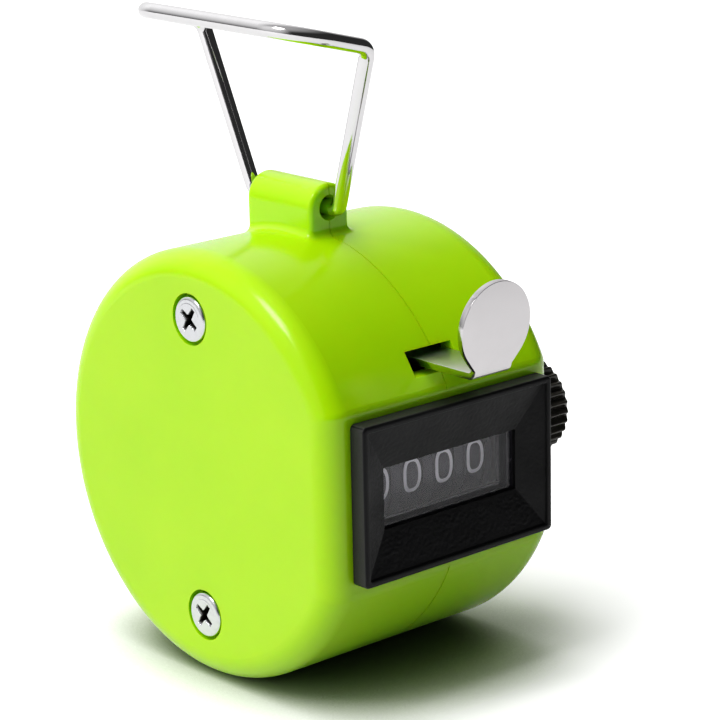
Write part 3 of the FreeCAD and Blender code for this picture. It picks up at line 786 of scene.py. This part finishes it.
# ---------------------------------------------------------------------------
# thumb lever: the pressed strip and pad, with its edges rolled over
# ---------------------------------------------------------------------------
def rolled_copy(name, src, mat, offset_mm, segs=3, angle=28.0):
    bm = bmesh.new()
    bm.from_mesh(nodes[src].data)
    bmesh.ops.remove_doubles(bm, verts=bm.verts, dist=2e-6)
    bmesh.ops.dissolve_limit(bm, angle_limit=math.radians(0.6), verts=bm.verts, edges=bm.edges)
    edges = [e for e in bm.edges if len(e.link_faces) == 2 and e.calc_face_angle(0.0) > math.radians(angle)]
    bmesh.ops.bevel(bm, geom=edges, offset=offset_mm / 1000.0, offset_type="OFFSET", segments=segs, profile=0.5,
                    affect="EDGES", clamp_overlap=True)
    bmesh.ops.recalc_face_normals(bm, faces=bm.faces)
    me = bpy.data.meshes.new(name)
    bm.to_mesh(me)
    bm.free()
    me.materials.clear()
    me.materials.append(mat)
    for p in me.polygons:
        p.use_smooth = True
    me.set_sharp_from_angle(angle=math.radians(32))
    o = bpy.data.objects.new(name, me)
    bpy.context.scene.collection.objects.link(o)
    return o


lever = rolled_copy("thumb_lever_pressed", "thumb_lever", CHROME, 0.11)
_at = lever.data.attributes.new("flat", "FLOAT", "FACE")
for _f, _d in zip(lever.data.polygons, _at.data):
    _d.value = 1.0 if abs(_f.normal.z) > 0.75 else 0.0
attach(lever, "thumb_lever_body")
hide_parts("thumb_lever")


# ---------------------------------------------------------------------------
# floor, light, camera
# ---------------------------------------------------------------------------
def floor():
    me = bpy.data.meshes.new("floor")
    bm = bmesh.new()
    bmesh.ops.create_circle(bm, cap_ends=True, segments=128, radius=0.62)
    bm.to_mesh(me)
    bm.free()
    o = bpy.data.objects.new("floor", me)
    bpy.context.scene.collection.objects.link(o)
    o.location = (0, 0, cad_lo.z - 0.00002)
    m, nt, out = new_mat("floor_white")
    vec = coords(nt)
    n = noise_tex(nt, vec, 6.0, 3.0)
    seen, lit = nt.nodes.new("ShaderNodeBsdfDiffuse"), nt.nodes.new("ShaderNodeBsdfDiffuse")
    tone = ramp(nt, n, [(0.3, (1.18, 1.18, 1.18, 1)), (0.7, (1.22, 1.22, 1.22, 1))])
    # painted contact shadow: the floor colour the camera sees is darkened by ambient occlusion close to the object
    near = nt.nodes.new("ShaderNodeAmbientOcclusion")
    near.samples = 8
    near.inputs["Distance"].default_value = 0.014
    painted_contact_shadow = ramp(nt, near.outputs["AO"], [(0.35, (0.20, 0.22, 0.17, 1)), (0.62, (0.55, 0.57, 0.52, 1)), (0.95, (1, 1, 1, 1))])
    both = nt.nodes.new("ShaderNodeVectorMath")
    both.operation = "MULTIPLY"
    nt.links.new(tone.outputs["Color"], both.inputs[0])
    nt.links.new(painted_contact_shadow.outputs["Color"], both.inputs[1])
    nt.links.new(both.outputs["Vector"], seen.inputs["Color"])
    nt.links.new(ramp(nt, n, [(0.3, (0.48, 0.48, 0.48, 1)), (0.7, (0.52, 0.52, 0.52, 1))]).outputs["Color"],
                 lit.inputs["Color"])
    mirrored = nt.nodes.new("ShaderNodeBsdfDiffuse")
    nt.links.new(ramp(nt, n, [(0.3, (0.73, 0.73, 0.73, 1)), (0.7, (0.76, 0.76, 0.76, 1))]).outputs["Color"],
                 mirrored.inputs["Color"])
    lpf = nt.nodes.new("ShaderNodeLightPath")
    mg = nt.nodes.new("ShaderNodeMixShader")
    nt.links.new(lpf.outputs["Is Glossy Ray"], mg.inputs["Fac"])
    nt.links.new(lit.outputs["BSDF"], mg.inputs[1])
    nt.links.new(mirrored.outputs["BSDF"], mg.inputs[2])
    mx = nt.nodes.new("ShaderNodeMixShader")
    nt.links.new(lpf.outputs["Is Camera Ray"], mx.inputs["Fac"])
    nt.links.new(mg.outputs["Shader"], mx.inputs[1])
    nt.links.new(seen.outputs["BSDF"], mx.inputs[2])
    nt.links.new(mx.outputs["Shader"], out.inputs["Surface"])
    me.materials.append(m)
    return o


floor()

world = bpy.data.worlds.new("studio")
bpy.context.scene.world = world
world.use_nodes = True
wt = world.node_tree
wt.nodes.clear()
wo = wt.nodes.new("ShaderNodeOutputWorld")
tcw = wt.nodes.new("ShaderNodeTexCoord")


def lobe(direction, inner, outer, gain):
    """A soft patch of studio light around a direction; inner and outer are half angles in degrees."""
    d = Vector(direction).normalized()
    dot = wt.nodes.new("ShaderNodeVectorMath")
    dot.operation = "DOT_PRODUCT"
    dot.inputs[1].default_value = d
    wt.links.new(tcw.outputs["Generated"], dot.inputs[0])
    mr = wt.nodes.new("ShaderNodeMapRange")
    mr.interpolation_type = "SMOOTHSTEP"
    mr.inputs["From Min"].default_value = math.cos(math.radians(outer))
    mr.inputs["From Max"].default_value = math.cos(math.radians(inner))
    mr.inputs["To Min"].default_value = 0.0
    mr.inputs["To Max"].default_value = gain
    wt.links.new(dot.outputs["Value"], mr.inputs["Value"])
    return mr.outputs["Result"]


def add_up(values, base):
    out = None
    for v in values:
        m = wt.nodes.new("ShaderNodeMath")
        m.operation = "ADD"
        wt.links.new(v, m.inputs[0])
        if out is None:
            m.inputs[1].default_value = base
        else:
            wt.links.new(out, m.inputs[1])
        out = m.outputs["Value"]
    return out


level = add_up([
    lobe((-0.25, 0.34, 0.90), 10, 72, 0.42),
    lobe((-1.0, 0.24, 0.35), 10, 50, 0.55),
    lobe((0.26, 0.92, 0.28), 15, 60, 0.88),
], 0.052)
bg_env = wt.nodes.new("ShaderNodeBackground")
wt.links.new(level, bg_env.inputs["Strength"])
bg_cam = wt.nodes.new("ShaderNodeBackground")
lp = wt.nodes.new("ShaderNodeLightPath")
mixw = wt.nodes.new("ShaderNodeMixShader")
wt.links.new(lp.outputs["Is Camera Ray"], mixw.inputs["Fac"])
wt.links.new(bg_env.outputs["Background"], mixw.inputs[1])
wt.links.new(bg_cam.outputs["Background"], mixw.inputs[2])
wt.links.new(mixw.outputs["Shader"], wo.inputs["Surface"])
bg_env.inputs["Color"].default_value = (1, 1, 1, 1)
bg_cam.inputs["Color"].default_value = (1, 1, 1, 1)


def area(name, loc, target, size, power, color=(1, 1, 1), size_y=None):
    ld = bpy.data.lights.new(name, "AREA")
    ld.energy = power
    ld.size = size
    if size_y:
        ld.shape = "RECTANGLE"
        ld.size_y = size_y
    ld.color = color
    o = bpy.data.objects.new(name, ld)
    bpy.context.scene.collection.objects.link(o)
    o.location = loc
    o.rotation_mode = "QUATERNION"
    o.rotation_quaternion = (Vector(target) - Vector(loc)).to_track_quat("-Z", "Y")
    return o


C = (0, 0, 0.03)
area("overhead", (-0.16, 0.24, 1.09), C, 0.74, 8.7).visible_glossy = False
area("left_softbox", (-1.00, 0.10, 0.40), C, 1.20, 6.0, size_y=0.72).visible_glossy = False
area("rim_light", (-0.62, 0.03, 0.89), C, 0.33, 3.5)

cam_d = bpy.data.cameras.new("camera")
cam = bpy.data.objects.new("camera", cam_d)
bpy.context.scene.collection.objects.link(cam)
cam_d.sensor_width = 36.0
cam_d.lens = 2849.537 * 36.0 / 720.0
cam_d.clip_start, cam_d.clip_end = 0.01, 20.0
back = Vector((-0.6377444, -0.7208283, 0.2714565))
right = Vector((0.7448305, -0.6669205, -0.0210851))
up = back.cross(right).normalized()
right = up.cross(back).normalized()
pos = M(*((back * 300.0 + right * 4.79 + up * 8.019)))
cam.matrix_world = Matrix(((right.x, up.x, back.x, pos.x), (right.y, up.y, back.y, pos.y),
                           (right.z, up.z, back.z, pos.z), (0, 0, 0, 1)))
bpy.context.scene.camera = cam
bpy.context.scene.view_settings.view_transform = "Standard"
bpy.context.scene.view_settings.look = "None"
vs = bpy.context.scene.view_settings
vs.use_curve_mapping = True
cm = vs.curve_mapping
crv = cm.curves[3]
for px, py in ((0.02, 0.009), (0.07, 0.050), (0.20, 0.190), (0.60, 0.62)):
    crv.points.new(px, py)
cm.update()
